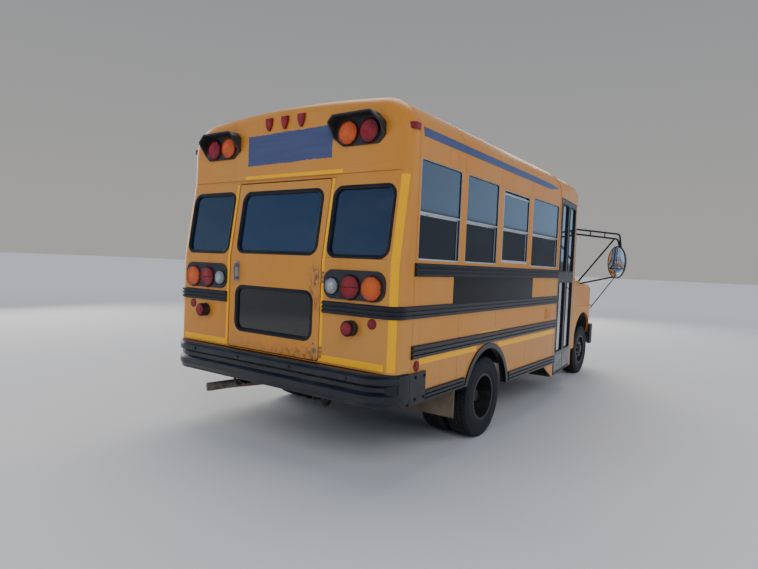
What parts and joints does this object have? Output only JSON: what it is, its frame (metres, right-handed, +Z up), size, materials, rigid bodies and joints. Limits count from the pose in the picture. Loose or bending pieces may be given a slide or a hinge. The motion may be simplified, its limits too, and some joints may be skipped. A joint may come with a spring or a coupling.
{
  "type": "short school bus",
  "caption": "Short school bus on a van chassis, with a rear emergency door, a split entrance door, opening hood and driver's door, stop arm, steered front wheels and rear twins.",
  "frame": {"origin": "on the ground under the middle of the bus", "axes": "+Y to the rear, so the bus faces -Y; +X to the driver's side; +Z up"},
  "size_m": [3.284, 6.527, 2.825],
  "materials": {
    "body_paint": "school-bus yellow enamel, dulled",
    "black_paint": "gloss black enamel",
    "chassis_black": "chassis black, dusty",
    "interior_grey": "light grey enamel",
    "floor_rubber": "ribbed floor covering",
    "aluminium": "mill aluminium",
    "glass": "dark tinted",
    "clear_glass": "clear",
    "gasket": "black rubber",
    "lamp_red": "red lens",
    "lamp_amber": "amber lens",
    "lamp_clear": "clear lens",
    "black_plastic": "moulded, black",
    "grey_plastic": "moulded, grey",
    "cast": "raw castings",
    "steel": "dull aluminised steel",
    "flap_rubber": "dusty rubber",
    "vinyl": "dark vinyl upholstery",
    "mirror": "mirror glass",
    "tyre": "dusty black rubber",
    "rim_paint": "dark steel wheel",
    "stop_red": "red sheet"
  },
  "bodies": {
    "root": {"side_walls": "body_paint", "roof": "body_paint", "rear_wall": "body_paint", "rear_cap": "body_paint", "front_cap": "body_paint", "cab_shell": "body_paint", "fenders": "body_paint", "windshield": "clear_glass", "floor": "floor_rubber", "step_well": "chassis_black", "rub_rails": "black_paint", "arch_lips": "black_paint", "window_frames": "aluminium", "side_glass": "glass", "window_gaskets": "gasket", "rear_bumper": "black_paint", "front_bumper": "black_plastic", "grille": "black_plastic", "lamps_red": "lamp_red", "lamps_amber": "lamp_amber", "lamps_clear": "lamp_clear", "lamp_housings": "black_plastic", "chassis_frame": "chassis_black", "rear_axle": "cast", "suspension": "chassis_black", "powertrain": "cast", "exhaust": "steel", "mud_flaps": "flap_rubber", "seat_frames": "interior_grey", "bench_pads": "vinyl", "driver_seat": "vinyl", "dashboard": "grey_plastic", "barriers": "interior_grey", "mirror_arms": "black_paint", "mirror_heads": "black_plastic", "mirror_glass": "mirror", "stop_arm_mount": "black_plastic"},
    "hood": {"hood": "body_paint"},
    "rear_door": {"rear_door": "body_paint", "rear_door_fittings": "gasket", "rear_door_glass": "glass"},
    "driver_door": {"driver_door": "body_paint", "driver_door_glass": "glass"},
    "entrance_leaf_rear": {"entrance_leaf_rear": "black_paint", "entrance_glass_rear": "glass"},
    "entrance_leaf_front": {"entrance_leaf_front": "black_paint", "entrance_glass_front": "glass"},
    "stop_arm": {"stop_arm": "stop_red"},
    "knuckle_left": {"knuckle_left": "cast"},
    "knuckle_right": {"knuckle_right": "cast"},
    "wheel_front_left": {"tyre_front_left": "tyre", "rim_front_left": "rim_paint"},
    "wheel_front_right": {"tyre_front_right": "tyre", "rim_front_right": "rim_paint"},
    "wheels_rear_left": {"tyres_rear_left": "tyre", "rims_rear_left": "rim_paint"},
    "wheels_rear_right": {"tyres_rear_right": "tyre", "rims_rear_right": "rim_paint"}
  },
  "joints": [
    {"name": "rear_door_hinge", "type": "hinge", "parent": "root", "child": "rear_door", "pos_m": [-0.52, 3.1868, 1.5], "axis": [0, 0, 1], "range_deg": [0, 105]},
    {"name": "driver_door_hinge", "type": "hinge", "parent": "root", "child": "driver_door", "pos_m": [1, -1.9485, 1], "axis": [0, 0, -1], "range_deg": [0, 65]},
    {"name": "entrance_front_hinge", "type": "hinge", "parent": "root", "child": "entrance_leaf_front", "pos_m": [-1.13855, -1.2685, 1.4], "axis": [0, 0, 1], "range_deg": [0, 85]},
    {"name": "entrance_rear_hinge", "type": "hinge", "parent": "root", "child": "entrance_leaf_rear", "pos_m": [-1.21568, -0.3845, 1.4], "axis": [0, 0, 1], "range_deg": [-85, 0]},
    {"name": "hood_hinge", "type": "hinge", "parent": "root", "child": "hood", "pos_m": [0, -2.0865, 1.425], "axis": [-1, 0, 0], "range_deg": [0, 50]},
    {"name": "stop_arm_hinge", "type": "hinge", "parent": "root", "child": "stop_arm", "pos_m": [1.264, 0.2415, 1.372], "axis": [0, 0, -1], "range_deg": [0, 90]},
    {"name": "steer_left", "type": "hinge", "parent": "root", "child": "knuckle_left", "pos_m": [0.735, -2.4255, 0.372], "axis": [0, 0, 1], "range_deg": [-35, 35]},
    {"name": "steer_right", "type": "hinge", "parent": "root", "child": "knuckle_right", "pos_m": [-0.735, -2.4255, 0.372], "axis": [0, 0, 1], "range_deg": [-35, 35]},
    {"name": "wheel_front_left_spin", "type": "hinge", "parent": "knuckle_left", "child": "wheel_front_left", "pos_m": [0.874, -2.4255, 0.372], "axis": [1, 0, 0], "continuous": true},
    {"name": "wheel_front_right_spin", "type": "hinge", "parent": "knuckle_right", "child": "wheel_front_right", "pos_m": [-0.874, -2.4255, 0.372], "axis": [1, 0, 0], "continuous": true},
    {"name": "wheels_rear_left_spin", "type": "hinge", "parent": "root", "child": "wheels_rear_left", "pos_m": [0.9625, 1.6135, 0.372], "axis": [1, 0, 0], "continuous": true},
    {"name": "wheels_rear_right_spin", "type": "hinge", "parent": "root", "child": "wheels_rear_right", "pos_m": [-0.9625, 1.6135, 0.372], "axis": [1, 0, 0], "continuous": true}
  ],
  "couplings": [
    {"joint": "entrance_rear_hinge", "follows": "entrance_front_hinge", "ratio": -1},
    {"joint": "steer_right", "follows": "steer_left", "ratio": 1}
  ]
}
